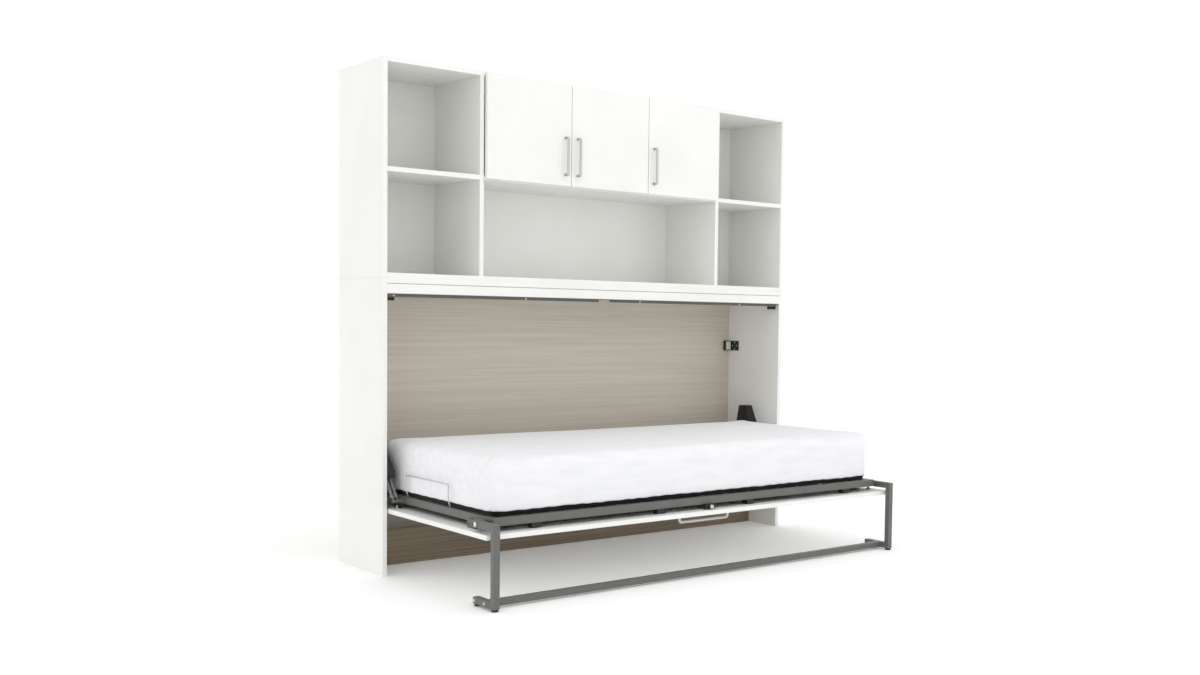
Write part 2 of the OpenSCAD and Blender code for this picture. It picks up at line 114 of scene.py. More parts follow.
def add_node(tree: bpy.types.NodeTree, kind: str, inputs: dict | None = None, **settings) -> bpy.types.Node:
    """Add one shader node with its settings, values and links.

    Args:
        tree: The node tree to add to.
        kind: The node's type name.
        inputs: Input name or number to a value, or to the output socket that feeds it.
        **settings: Properties of the node itself; stops is a ramp's places and colours.

    Returns:
        The new node.
    """
    node = tree.nodes.new(kind)
    for name, value in settings.items():
        if name != "stops":
            setattr(node, name, value)
            continue
        ramp = node.color_ramp.elements
        while len(ramp) < len(value):
            ramp.new(0.5)
        for element, (place, colour) in zip(ramp, value):
            element.position, element.color = place, linear(colour)
    for name, value in (inputs or {}).items():
        if isinstance(value, bpy.types.NodeSocket):
            tree.links.new(value, node.inputs[name])
        else:
            node.inputs[name].default_value = value
    return node


# ---------------------------------------------------------------- finishes


@dataclass(frozen=True)
class Finish:
    """A finish whose colour and gloss are broken up by patterns of a real size.

    Cell sizes are in millimetres, first across the run and then along it.
    """

    name: str
    colours: tuple[str, ...]
    colour_cell: tuple[float, float]
    surface_cell: tuple[float, float]
    rough: tuple[float, float]
    relief_mm: float
    run: Run = Run.X
    metallic: float = 0.0
    specular: float = 0.5
    sheen: float = 0.0
    glow: float = 0.0

    def cells(self, tree: bpy.types.NodeTree, cell: tuple[float, float]) -> bpy.types.NodeSocket:
        """Give a noise value, about 0.5 on average, with cells of a real size.

        Args:
            tree: The material's node tree.
            cell: The size of a cell across the run and along it, in millimetres.

        Returns:
            The value socket.
        """
        scale = [1000 / cell[0]] * 3
        scale[self.run.value] = 1000 / cell[1]
        place = add_node(tree, "ShaderNodeTexCoord").outputs["Object"]
        sized = add_node(tree, "ShaderNodeMapping", {"Vector": place, "Scale": scale}).outputs["Vector"]
        inputs = {"Vector": sized, "Scale": 1.0, "Detail": 3.0}
        return add_node(tree, "ShaderNodeTexNoise", inputs).outputs["Fac"]

    def bands(
        self, tree: bpy.types.NodeTree, pitch_mm: float, axis: str, waver: float
    ) -> bpy.types.NodeSocket:
        """Give a value that goes up and down once in a real distance.

        Args:
            tree: The material's node tree.
            pitch_mm: Distance from one band to the next.
            axis: X, Y or Z, across the bands.
            waver: How far the bands wander.

        Returns:
            The value socket.
        """
        place = add_node(tree, "ShaderNodeTexCoord").outputs["Object"]
        inputs = {"Vector": place, "Scale": 1000 / pitch_mm * math.pi / 10, "Distortion": waver}
        wave = add_node(tree, "ShaderNodeTexWave", inputs, wave_type="BANDS", bands_direction=axis)
        return wave.outputs["Fac"]

    def colour(self, tree: bpy.types.NodeTree) -> bpy.types.NodeSocket:
        """Give the colour, drifting from shade to shade with the cells.

        Args:
            tree: The material's node tree.

        Returns:
            The colour socket.
        """
        count = len(self.colours)
        stops = [(0.34 + 0.32 * i / (count - 1), shade) for i, shade in enumerate(self.colours)]
        cells = self.cells(tree, self.colour_cell)
        return add_node(tree, "ShaderNodeValToRGB", {"Fac": cells}, stops=stops).outputs["Color"]

    def height(self, tree: bpy.types.NodeTree) -> bpy.types.NodeSocket:
        """Return the socket that gives the relief, from 0 to 1."""
        return self.cells(tree, self.surface_cell)

    def build(self) -> bpy.types.Material:
        """Return the material."""
        material = bpy.data.materials.new(self.name)
        material.use_nodes = True
        tree = material.node_tree
        tree.nodes.clear()
        height = self.height(tree)
        low, high = self.rough
        gloss = {"Value": height, "From Min": 0.3, "From Max": 0.7, "To Min": low, "To Max": high}
        bump = {"Height": height, "Distance": self.relief_mm * MM, "Strength": 1.0}
        inputs = {
            "Base Color": self.colour(tree),
            "Roughness": add_node(tree, "ShaderNodeMapRange", gloss).outputs["Result"],
            "Normal": add_node(tree, "ShaderNodeBump", bump).outputs["Normal"],
            "Metallic": self.metallic,
            "Specular IOR Level": self.specular,
            "Sheen Weight": self.sheen,
            "Emission Color": (1.0, 1.0, 1.0, 1.0),
            "Emission Strength": self.glow,
        }
        shader = add_node(tree, "ShaderNodeBsdfPrincipled", inputs)
        add_node(tree, "ShaderNodeOutputMaterial", {"Surface": shader.outputs["BSDF"]})
        return material


@dataclass(frozen=True)
class WhiteMelamine(Finish):
    """Particle board faced with white paper, pressed between steel plates.

    The plates leave a fine pearl that breaks up the highlights. The real pearl is 0.5 mm and
    is drawn at 2.5 mm so that it shows. The white drifts a little from sheet to sheet.
    """

    name: str = "white_melamine_pressed"
    colours: tuple[str, ...] = ("#F2F2EE", "#F6F6F3")
    colour_cell: tuple[float, float] = (300.0, 300.0)
    surface_cell: tuple[float, float] = (2.5, 2.5)
    rough: tuple[float, float] = (0.34, 0.46)
    relief_mm: float = 0.012


@dataclass(frozen=True)
class GreigeMelamine(Finish):
    """Particle board faced with a printed greige wood paper, pressed with a pore.

    Long pale and dark streaks run along the board, and short pores catch the light.
    """

    name: str = "greige_melamine_pressed"
    colours: tuple[str, ...] = ("#CAC1B4", "#CFC7BA", "#D5CDC1")
    colour_cell: tuple[float, float] = (9.0, 700.0)
    surface_cell: tuple[float, float] = (2.0, 60.0)
    rough: tuple[float, float] = (0.44, 0.6)
    relief_mm: float = 0.04


@dataclass(frozen=True)
class GreigePaintedShade(GreigeMelamine):
    """The same greige board, its colours darkened into painted shade, for the low board behind the bed.

    Its brown is painted shade, not a print of its own: it keeps the space under the bed dark.
    """

    name: str = "umber_melamine_pressed"
    # Greige colours darkened to paint in the shade under the bed.
    colours: tuple[str, ...] = ("#7A6B58", "#857663", "#8F806D")


@dataclass(frozen=True)
class PowderCoat(Finish):
    """Steel under baked powder paint.

    The paint leaves an even orange peel that blurs the highlights along the tubes. The real
    peel is 0.8 mm and is drawn at 2 mm so that it shows.
    """

    name: str = "grey_steel_powder_coated"
    colours: tuple[str, ...] = ("#62635F", "#696A66")
    colour_cell: tuple[float, float] = (3.0, 3.0)
    surface_cell: tuple[float, float] = (2.0, 2.0)
    rough: tuple[float, float] = (0.36, 0.5)
    relief_mm: float = 0.03


@dataclass(frozen=True)
class BrushedSteel(Finish):
    """Stainless steel brushed along its length, then left bare.

    Hairlines spread the highlight across the bar and leave it sharp along it.
    """

    name: str = "stainless_steel_brushed"
    colours: tuple[str, ...] = ("#BDBDB9", "#CBCBC8")
    colour_cell: tuple[float, float] = (0.8, 40.0)
    surface_cell: tuple[float, float] = (0.6, 40.0)
    rough: tuple[float, float] = (0.26, 0.42)
    relief_mm: float = 0.006
    metallic: float = 1.0


@dataclass(frozen=True)
class ZincWire(Finish):
    """Drawn steel wire under bright zinc plate.

    The plate is a soft light grey, with a broad highlight and faint cloudy patches.
    """

    name: str = "steel_wire_zinc_plated"
    colours: tuple[str, ...] = ("#C6C8CA", "#D4D6D7")
    colour_cell: tuple[float, float] = (4.0, 12.0)
    surface_cell: tuple[float, float] = (2.5, 2.5)
    rough: tuple[float, float] = (0.3, 0.42)
    relief_mm: float = 0.01
    metallic: float = 0.5


@dataclass(frozen=True)
class Chrome(Finish):
    """Steel wire or a turned knob, polished and chrome plated.

    The plating mirrors the room, with faint ripples left by the polishing.
    """

    name: str = "steel_chrome_plated"
    colours: tuple[str, ...] = ("#D2D3D4", "#DCDDDE")
    colour_cell: tuple[float, float] = (6.0, 6.0)
    surface_cell: tuple[float, float] = (4.0, 4.0)
    rough: tuple[float, float] = (0.08, 0.16)
    relief_mm: float = 0.006
    metallic: float = 1.0


@dataclass(frozen=True)
class BlackPlastic(Finish):
    """ABS moulded in a spark-eroded tool, which leaves a matt grain."""

    name: str = "black_abs_moulded"
    colours: tuple[str, ...] = ("#1A1A1B", "#252526")
    colour_cell: tuple[float, float] = (1.5, 1.5)
    surface_cell: tuple[float, float] = (1.2, 1.2)
    rough: tuple[float, float] = (0.45, 0.62)
    relief_mm: float = 0.03


@dataclass(frozen=True)
class CreamRubber(Finish):
    """Rubber moulded for bumpers and buffers, slightly chalky."""

    name: str = "cream_rubber_moulded"
    colours: tuple[str, ...] = ("#D6D1C0", "#E1DCCD")
    colour_cell: tuple[float, float] = (2.0, 2.0)
    surface_cell: tuple[float, float] = (1.4, 1.4)
    rough: tuple[float, float] = (0.6, 0.75)
    relief_mm: float = 0.03


@dataclass(frozen=True)
class BeechPlywood(Finish):
    """Beech veneers pressed to a springy slat and stained brown.

    The faces show the grain along the slat, and the edges show the veneers as thin lines.
    """

    name: str = "beech_plywood_pressed"
    colours: tuple[str, ...] = ("#6B3D25", "#8A5535", "#A06A45")
    colour_cell: tuple[float, float] = (3.0, 150.0)
    surface_cell: tuple[float, float] = (1.5, 40.0)
    rough: tuple[float, float] = (0.4, 0.55)
    relief_mm: float = 0.03
    run: Run = Run.Y
    ply_mm: float = 1.3

    def colour(self, tree: bpy.types.NodeTree) -> bpy.types.NodeSocket:
        """Return the grain, darkened along the glue lines.

        Args:
            tree: The material's node tree.

        Returns:
            The colour socket.
        """
        plies = self.bands(tree, self.ply_mm, "Z", 0.0)
        line = {"Value": plies, "To Min": 0.72, "To Max": 1.0}
        shade = add_node(tree, "ShaderNodeMapRange", line).outputs["Result"]
        mixed = {0: 1.0, 6: Finish.colour(self, tree), 7: shade}
        return add_node(tree, "ShaderNodeMix", mixed, data_type="RGBA", blend_type="MULTIPLY").outputs[2]


@dataclass(frozen=True)
class CottonPercale(Finish):
    """Cotton woven one thread over one, then washed.

    The crossed threads show as a fine relief, with soft creases between them, and the cloth
    is bright at grazing angles. Real threads are 0.25 mm apart and are drawn at 3 mm.
    """

    name: str = "white_cotton_woven"
    colours: tuple[str, ...] = ("#F1F2F5", "#F8F8FA")
    colour_cell: tuple[float, float] = (30.0, 140.0)
    surface_cell: tuple[float, float] = (55.0, 130.0)
    rough: tuple[float, float] = (0.8, 0.9)
    relief_mm: float = 2.4
    specular: float = 0.2
    sheen: float = 0.2
    thread_mm: float = 3.0
    thread_share: float = 0.05

    def height(self, tree: bpy.types.NodeTree) -> bpy.types.NodeSocket:
        """Return the creases with the crossed threads on them.

        Args:
            tree: The material's node tree.

        Returns:
            The relief socket.
        """
        warp, weft, rise = (self.bands(tree, self.thread_mm, axis, 0.5) for axis in "XYZ")
        crossed = add_node(tree, "ShaderNodeMath", {0: warp, 1: weft}, operation="MULTIPLY").outputs[0]
        woven = add_node(tree, "ShaderNodeMath", {0: crossed, 1: rise}, operation="ADD").outputs[0]
        fine = {0: woven, 1: self.thread_share, 2: Finish.height(self, tree)}
        return add_node(tree, "ShaderNodeMath", fine, operation="MULTIPLY_ADD").outputs[0]


@dataclass(frozen=True)
class BlackKnit(Finish):
    """Polyester knitted for the sides of a mattress, dull and slightly ribbed."""

    name: str = "black_polyester_knitted"
    colours: tuple[str, ...] = ("#121213", "#1F1F21")
    colour_cell: tuple[float, float] = (2.4, 7.0)
    surface_cell: tuple[float, float] = (2.4, 7.0)
    rough: tuple[float, float] = (0.86, 0.95)
    relief_mm: float = 0.2
    run: Run = Run.Z
    specular: float = 0.2
    sheen: float = 0.1


@dataclass(frozen=True)
class PaintedFloor(Finish):
    """A white studio floor under rolled paint, with a hardly visible stipple.

    It glows faintly, as a floor does when white light fills the room from every side, so the
    shade under the bed stays pale.
    """

    name: str = "white_floor_painted"
    colours: tuple[str, ...] = ("#FBFBFB", "#FFFFFF")
    colour_cell: tuple[float, float] = (8.0, 8.0)
    surface_cell: tuple[float, float] = (5.0, 5.0)
    rough: tuple[float, float] = (0.8, 0.9)
    relief_mm: float = 0.01
    specular: float = 0.1
    glow: float = 0.12


@dataclass(frozen=True)
class LitWall(PaintedFloor):
    """The same paint on the curved wall, washed evenly white by lamps out of sight."""

    name: str = "white_wall_painted"
    glow: float = 0.14


@dataclass
class Palette:
    """Every finish of the bed, each built once."""

    white: bpy.types.Material = field(default_factory=lambda: WhiteMelamine().build())
    greige: bpy.types.Material = field(default_factory=lambda: GreigeMelamine().build())
    # The low board under the bed: greige darkened into painted shade.
    greige_painted_shade: bpy.types.Material = field(default_factory=lambda: GreigePaintedShade().build())
    powder: bpy.types.Material = field(default_factory=lambda: PowderCoat().build())
    steel_x: bpy.types.Material = field(
        default_factory=lambda: BrushedSteel(name="stainless_steel_brushed_lengthwise", run=Run.X).build()
    )
    steel_z: bpy.types.Material = field(
        default_factory=lambda: BrushedSteel(name="stainless_steel_brushed_upright", run=Run.Z).build()
    )
    zinc: bpy.types.Material = field(default_factory=lambda: ZincWire().build())
    chrome: bpy.types.Material = field(default_factory=lambda: Chrome().build())
    black: bpy.types.Material = field(default_factory=lambda: BlackPlastic().build())
    cream: bpy.types.Material = field(default_factory=lambda: CreamRubber().build())
    plywood: bpy.types.Material = field(default_factory=lambda: BeechPlywood().build())
    cotton: bpy.types.Material = field(default_factory=lambda: CottonPercale().build())
    knit: bpy.types.Material = field(default_factory=lambda: BlackKnit().build())


# ---------------------------------------------------------------- mesh helpers


def new_piece(
    name: str, mesh: bpy.types.Mesh, material: bpy.types.Material, body: str
) -> bpy.types.Object:
    """Put a finished mesh in the scene as a piece that rides on a body.

    Args:
        name: The piece's name.
        mesh: Its mesh, in the row frame.
        material: Its finish.
        body: The CAD body that it rides on.

    Returns:
        The new object.
    """
    piece = bpy.data.objects.new(name, mesh)
    bpy.context.scene.collection.objects.link(piece)
    mesh.materials.append(material)
    mesh.shade_smooth()
    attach(piece, body)
    log.info("piece %s on %s", name, body)
    return piece


def mesh_of(name: str, points: np.ndarray, faces: list) -> bpy.types.Mesh:
    """Make a mesh from points and faces, its normals facing out.

    Args:
        name: The mesh's name.
        points: One row per vertex.
        faces: Tuples of vertex numbers.

    Returns:
        The mesh.
    """
    mesh = bpy.data.meshes.new(name)
    mesh.from_pydata([tuple(map(float, p)) for p in points], [], faces)
    build = bmesh.new()
    build.from_mesh(mesh)
    bmesh.ops.remove_doubles(build, verts=build.verts, dist=1e-6)
    bmesh.ops.recalc_face_normals(build, faces=build.faces)
    build.to_mesh(mesh)
    build.free()
    return mesh


def rounded_path(corners: list[Vector], radius: float, steps: int = 8) -> list[Vector]:
    """Round the inner corners of a path with arcs.

    Args:
        corners: The path's corner points.
        radius: Radius of the bends.
        steps: Pieces in one bend.

    Returns:
        The points of the rounded path.
    """
    path = [corners[0]]
    for before, corner, after in zip(corners, corners[1:], corners[2:]):
        into, out = (before - corner).normalized(), (after - corner).normalized()
        half = into.angle(out) / 2
        reach = radius / math.tan(half)
        centre = corner + (into + out).normalized() * (radius / math.sin(half))
        start, end = corner + into * reach - centre, corner + out * reach - centre
        path += [centre + start.slerp(end, i / steps) * radius for i in range(steps + 1)]
    return path + [corners[-1]]


def swept_tube(path: list[Vector], radius: float, sides: int = 12) -> tuple[np.ndarray, list]:
    """Sweep a round section along a path, with closed ends.

    Args:
        path: The points of the middle line.
        radius: Radius of the section.
        sides: Sides of the section.

    Returns:
        The points and the faces.
    """
    tangent = (path[1] - path[0]).normalized()
    normal = tangent.orthogonal().normalized()
    rings = []
    for i, point in enumerate(path):
        ahead = path[min(i + 1, len(path) - 1)] - path[max(i - 1, 0)]
        turn = tangent.rotation_difference(ahead.normalized())
        normal = (turn @ normal).normalized()
        tangent = ahead.normalized()
        binormal = tangent.cross(normal)
        for k in range(sides):
            angle = 2 * math.pi * k / sides
            rings.append(point + (normal * math.cos(angle) + binormal * math.sin(angle)) * radius)
    count = len(path)
    faces = [
        (i * sides + k, i * sides + (k + 1) % sides, (i + 1) * sides + (k + 1) % sides, (i + 1) * sides + k)
        for i in range(count - 1)
        for k in range(sides)
    ]
    faces += [tuple(reversed(range(sides))), tuple(range((count - 1) * sides, count * sides))]
    return np.array(rings), faces


def lathed(
    profile: list[tuple[float, float]], sides: int, axis: Vector, base: Vector
) -> tuple[np.ndarray, list]:
    """Turn a profile about an axis.

    Args:
        profile: Radius and height of each ring; a radius of 0 closes the end.
        sides: Sides of a ring.
        axis: Direction of the height.
        base: Where the height is 0.

    Returns:
        The points and the faces.
    """
    up = axis.normalized()
    across = up.orthogonal().normalized()
    beside = up.cross(across)
    points, rings = [], []
    for radius, height in profile:
        count = sides if radius > 0 else 1
        rings.append(list(range(len(points), len(points) + count)))
        for k in range(count):
            angle = 2 * math.pi * k / sides
            spoke = across * math.cos(angle) + beside * math.sin(angle)
            points.append(base + up * height + spoke * radius)
    faces = []
    for low, high in zip(rings, rings[1:]):
        for k in range(sides):
            after = k + 1
            quad = [low[k % len(low)], low[after % len(low)], high[after % len(high)], high[k % len(high)]]
            faces.append(tuple(dict.fromkeys(quad)))
    return np.array(points), faces


def joined(parts: list[tuple[np.ndarray, list]]) -> tuple[np.ndarray, list]:
    """Put several meshes' points and faces together, as separate shells of one mesh.

    Args:
        parts: Each mesh's points and its faces.

    Returns:
        The points and the faces of the one mesh.
    """
    points, faces, start = [], [], 0
    for part_points, part_faces in parts:
        points.append(part_points)
        faces += [tuple(i + start for i in face) for face in part_faces]
        start += len(part_points)
    return np.vstack(points), faces


def screw_head(place: Vector, out: Vector, radius: float, height: float) -> tuple[np.ndarray, list]:
    """Shape a domed screw head with a six-sided socket.

    Args:
        place: Middle of the head's underside.
        out: Direction that the head faces.
        radius: Radius of the head.
        height: Height of the dome.

    Returns:
        The points and the faces.
    """
    socket = 0.42 * radius
    dome = [(radius, 0.0), (radius, 0.35 * height), (0.92 * radius, 0.7 * height), (0.7 * radius, height)]
    recess = [(socket, height), (0.9 * socket, 0.35 * height), (0, 0.3 * height)]
    return lathed([*dome, *recess], 12, out, place)


def soften(node: str, material: bpy.types.Material, edge_mm: float) -> None:
    """Give a CAD node its finish and take the sharpness off its edges.

    Args:
        node: Name of the CAD node.
        material: Its finish.
        edge_mm: Width of the eased edge.
    """
    piece = frame["nodes"][node]
    piece.data.materials.clear()
    piece.data.materials.append(material)
    weld = piece.modifiers.new("weld", "WELD")
    weld.merge_threshold = 0.01 * MM
    bevel = piece.modifiers.new("eased_edge", "BEVEL")
    bevel.width = edge_mm * MM
    bevel.segments = 2
    bevel.limit_method = "ANGLE"
    bevel.angle_limit = math.radians(40)
    bevel.harden_normals = False
    log.info("finished %s", node)


def shells(node: str) -> list[tuple[Vector, Vector]]:
    """Find the separate solids of a CAD node.

    Args:
        node: Name of the CAD node.

    Returns:
        The lowest and highest corner of each solid's box, from left to right.
    """
    build = bmesh.new()
    build.from_mesh(frame["nodes"][node].data)
    bmesh.ops.remove_doubles(build, verts=build.verts, dist=0.001 * MM)
    waiting = set(build.verts)
    boxes = []
    while waiting:
        stack = [waiting.pop()]
        members = []
        while stack:
            vert = stack.pop()
            members.append(vert.co.copy())
            for edge in vert.link_edges:
                other = edge.other_vert(vert)
                if other in waiting:
                    waiting.remove(other)
                    stack.append(other)
        low = Vector([min(p[a] for p in members) for a in range(3)])
        high = Vector([max(p[a] for p in members) for a in range(3)])
        boxes.append((low, high))
    build.free()
    return sorted(boxes, key=lambda corners: tuple(corners[0]))


# ---------------------------------------------------------------- cabinet


@dataclass
class BedCabinet:
    """The lower cabinet: boards, back, stiffener, catches and wall rails."""

    palette: Palette
    edge_mm: float = 0.7

    def dress(self) -> None:
        """Give the boards and the metal their finishes."""
        for node in ("lower_side_left", "lower_side_right"):
            soften(node, self.palette.white, 1.3)
        for node in ("lower_top", "pelmet", "wall_rails"):
            soften(node, self.palette.white, self.edge_mm)
        soften("lower_back", self.palette.greige, self.edge_mm)
        # The traverse under the bed gets greige darkened into painted shade.
        soften("traverse", self.palette.greige_painted_shade, self.edge_mm)
        soften("stiffener_angle", self.palette.powder, 0.6)
        soften("panel_buffers", self.palette.cream, 0.3)
        for node in ("top_catches", "side_catches"):
            soften(node, self.palette.black, 0.8)
        soften("catch_bumpers", self.palette.cream, 1.2)

    def build_screws(self) -> None:
        """Shape the domed screws of the catches and hinge plates, each where the CAD has one."""
        parts = []
        for low, high in shells("mounting_screws"):
            place, radius = (low + high) / 2, (high.z - low.z) / 2
            inward = -math.copysign(1, place.x)
            place.x = low.x if inward > 0 else high.x
            length = high.x - low.x
            shank, head = 0.45 * radius, 0.45 * length
            profile = [(0, 0), (shank, 0), (shank, length - head)]
            out = Vector((inward, 0, 0))
            parts.append(lathed([*profile, (shank * 0.8, length - head)], 10, out, place))
            parts.append(screw_head(place + out * (length - head), out, radius, head))
        name = "mounting_screw_heads"
        mesh = mesh_of(name, *joined(parts))
        piece = new_piece(name, mesh, self.palette.steel_z, Body.CABINET.value)
        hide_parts("mounting_screws")


@dataclass
class UpperUnit:
    """The shelf and door unit on top of the bed cabinet."""

    palette: Palette
    edge_mm: float = 0.7

    def dress(self) -> None:
        """Give the boards, bolts and hinge arms their finishes."""
        for node in ("upper_side_left", "upper_side_right"):
            soften(node, self.palette.white, 1.3)
        boards = (
            "upper_top",
            "upper_bottom",
            "niche_dividers",
            "compartment_divider",
            "centre_shelf",
            "column_shelves",
            "upper_back",
            "niche_back",
        )
        for node in boards:
            soften(node, self.palette.white, self.edge_mm)
        soften("unit_bolts", self.palette.steel_x, 0.5)
        soften("door_hinge_arms", self.palette.steel_x, 0.8)


@dataclass
class CabinetDoor:
    """One door with its bow handle and hinge cups."""

    palette: Palette
    number: int
    bend_mm: float = 6.5

    def dress(self) -> None:
        """Give the door and its hinge cups their finishes."""
        soften(f"door_{self.number}", self.palette.white, 0.9)
        soften(f"door_hinge_cups_{self.number}", self.palette.steel_x, 0.4)

    def build_handle(self) -> None:
        """Bend the bow handle from one bar."""
        node = f"door_handle_{self.number}"
        low, high = (Vector(c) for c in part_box(node))
        radius = (high.x - low.x) / 2
        x, bar_y = (low.x + high.x) / 2, low.y + radius
        feet = [Vector((x, high.y, z)) for z in (low.z + radius, high.z - radius)]
        bar = [Vector((x, bar_y, foot.z)) for foot in feet]
        path = rounded_path([feet[0], *bar, feet[1]], self.bend_mm * MM)
        mesh = mesh_of(f"bow_handle_{self.number}", *swept_tube(path, radius * BAR_SHARE, 20))
        body = f"door_{self.number}"
        piece = new_piece(f"bow_handle_{self.number}", mesh, self.palette.steel_z, body)
        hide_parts(node)


# ---------------------------------------------------------------- lifting mechanism


@dataclass
class LiftMechanism:
    """Hinge plates, covers, springs and swing arms at both ends of the bed."""

    palette: Palette
    wire_mm: float = 1.1
    barrel_mm: float = 6.4
    row_gap_mm: float = 18.0
    stud_mm: tuple[float, float] = (-75.0, 0.0)
    anchor_mm: tuple[float, float] = (171.0, 282.0)
    turns: int = 84
    turn_steps: int = 10

    def dress(self) -> None:
        """Give the steel and the covers their finishes."""
        soften("hinge_plates", self.palette.powder, 0.5)
        soften("swing_arms", self.palette.powder, 0.6)
        soften("spring_covers", self.palette.black, 0.9)

    def build_springs(self) -> None:
        """Wind the four tension springs, each from the stud on its arm to its anchor post."""
        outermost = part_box("lift_springs")[1][0]
        pivot = next(Vector(joint["pos_m"]) for joint in frame["joints"] if joint["name"] == "bed_tilt")
        stud = Vector((0, pivot.y + self.stud_mm[0] * MM, pivot.z + self.stud_mm[1] * MM))
        anchor = Vector((0, pivot.y + self.anchor_mm[0] * MM, pivot.z + self.anchor_mm[1] * MM))
        barrel = self.barrel_mm * MM
        outer_row = outermost - barrel - self.wire_mm * MM
        first = None
        for side in Side:
            for row, x in enumerate((outer_row, outer_row - self.row_gap_mm * MM)):
                at = Vector((side.value * x, 0, 0))
                mesh = mesh_of("lift_spring", *self.wound(at + stud, at + anchor, barrel))
                name = f"lift_spring_{side.name.lower()}_{row + 1}"
                piece = bpy.data.objects.new(name, mesh)
                bpy.context.scene.collection.objects.link(piece)
                mesh.materials.append(self.palette.steel_z)
                mesh.shade_smooth()
                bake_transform(piece)
                log.info("piece %s between the cabinet and the swing arms", name)
                first = first or piece
        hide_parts("lift_springs")

    def wound(self, low: Vector, high: Vector, barrel: float) -> tuple[np.ndarray, list]:
        """Wind one spring between two posts, with an eye at each end.

        Args:
            low: Middle of the lower post.
            high: Middle of the upper post.
            barrel: Radius of the coil's middle line.

        Returns:
            The points and the faces.
        """
        run = (high - low).normalized()
        across = Vector((1, 0, 0))
        beside = run.cross(across)
        eye = 6.6 * MM
        start, length = eye + 6 * MM, (high - low).length - 2 * (eye + 6 * MM)
        path = []
        for i in range(9):
            angle = math.pi * (1.5 + 1.7 * i / 9)
            path.append(low + (beside * math.cos(angle) + run * math.sin(angle)) * eye)
        steps = self.turns * self.turn_steps
        for i in range(steps + 1):
            angle = 2 * math.pi * i / self.turn_steps
            spread = min(1.0, i / 12, (steps - i) / 12)
            ring = (across * math.cos(angle) + beside * math.sin(angle)) * (barrel * spread)
            path.append(low + run * (start + length * i / steps) + ring)
        for i in range(10):
            angle = math.pi * (1.5 - 1.7 * i / 9)
            path.append(high + (beside * math.cos(angle) - run * math.sin(angle)) * -eye)
        return swept_tube(path, self.wire_mm * MM, 6)


# ---------------------------------------------------------------- bed


@dataclass
class BedFrame:
    """The steel frame, its slats and the panel that closes the cabinet."""

    palette: Palette
    handle_bend_mm: float = 10.0
    bow_wire_mm: float = 3.0
    bow_bend_mm: float = 9.0
    bow_tuck_mm: float = 9.0
    bow_knee_mm: float = 26.0

    def dress(self) -> None:
        """Give the frame, slats and panel their finishes."""
        for node in ("frame_front_bar", "frame_rear_bar", "frame_end_bars", "frame_cross_bars"):
            soften(node, self.palette.powder, 1.6)
        soften("slats", self.palette.plywood, 1.5)
        soften("slat_holders", self.palette.black, 0.6)
        soften("front_panel", self.palette.white, 0.8)
        soften("panel_spacers", self.palette.black, 0.8)
        soften("panel_screw_cones", self.palette.steel_x, 0.4)

    def build_panel_handle(self) -> None:
        """Bend the long handle under the panel from one bar."""
        low, high = (Vector(c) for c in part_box("panel_handle"))
        radius = (high.y - low.y) / 2
        y, bar_z = (low.y + high.y) / 2, low.z + radius
        feet = [Vector((x, y, high.z)) for x in (low.x + radius, high.x - radius)]
        bar = [Vector((foot.x, y, bar_z)) for foot in feet]
        path = rounded_path([feet[0], *bar, feet[1]], self.handle_bend_mm * MM)
        mesh = mesh_of("panel_bow_handle", *swept_tube(path, radius * BAR_SHARE, 20))
        piece = new_piece("panel_bow_handle", mesh, self.palette.steel_x, Body.BED.value)
        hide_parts("panel_handle")

    def build_retainers(self) -> None:
        """Bend the wire bow at each end of the mattress, its feet tucked in over the bar."""
        low, high = (Vector(c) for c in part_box("mattress_retainers"))
        bar_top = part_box("frame_end_bars")[1][2]
        radius = self.bow_wire_mm * MM
        first = None
        for side in Side:
            x = side.value * (high.x - radius)
            ys, z = (low.y + radius, high.y - radius), bar_top + radius
            feet = [Vector((x - side.value * self.bow_tuck_mm * MM, y, z)) for y in ys]
            knees = [Vector((x, y, z + self.bow_knee_mm * MM)) for y in ys]
            tops = [Vector((x, y, high.z - radius)) for y in ys]
            corners = [feet[0], knees[0], *tops, knees[1], feet[1]]
            path = rounded_path(corners, self.bow_bend_mm * MM)
            name = f"wire_bow_{side.name.lower()}"
            mesh = mesh_of(name, *swept_tube(path, radius, 12))
            piece = new_piece(name, mesh, self.palette.zinc, Body.BED.value)
            first = first or piece
        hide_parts("mattress_retainers")


